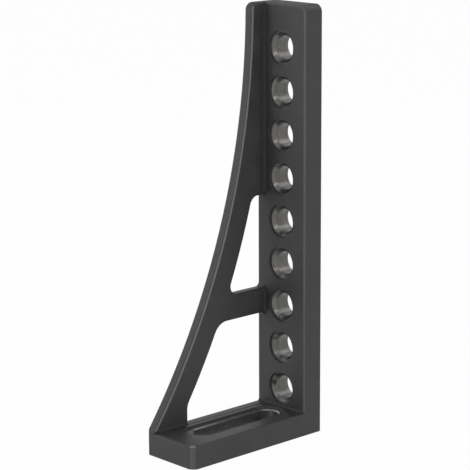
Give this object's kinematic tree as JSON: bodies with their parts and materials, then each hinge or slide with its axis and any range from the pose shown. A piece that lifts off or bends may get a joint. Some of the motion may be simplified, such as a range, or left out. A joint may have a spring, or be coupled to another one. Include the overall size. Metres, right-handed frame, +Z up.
{
  "type": "angle plate",
  "caption": "Tall one-piece cast angle plate with a row of round bores in the leg, a slotted foot and a windowed web on one side.",
  "frame": {"origin": "heel: where the stop face meets the base face, halfway across the plate's width", "axes": "+X from the stop face along the foot, +Y across the plate away from the web, +Z up along the leg"},
  "size_m": [0.2, 0.077, 0.5],
  "materials": {
    "cast_iron": "dark phosphated cast skin with bright machined bores"
  },
  "bodies": {
    "root": {"angle_plate": "cast_iron"}
  },
  "joints": []
}
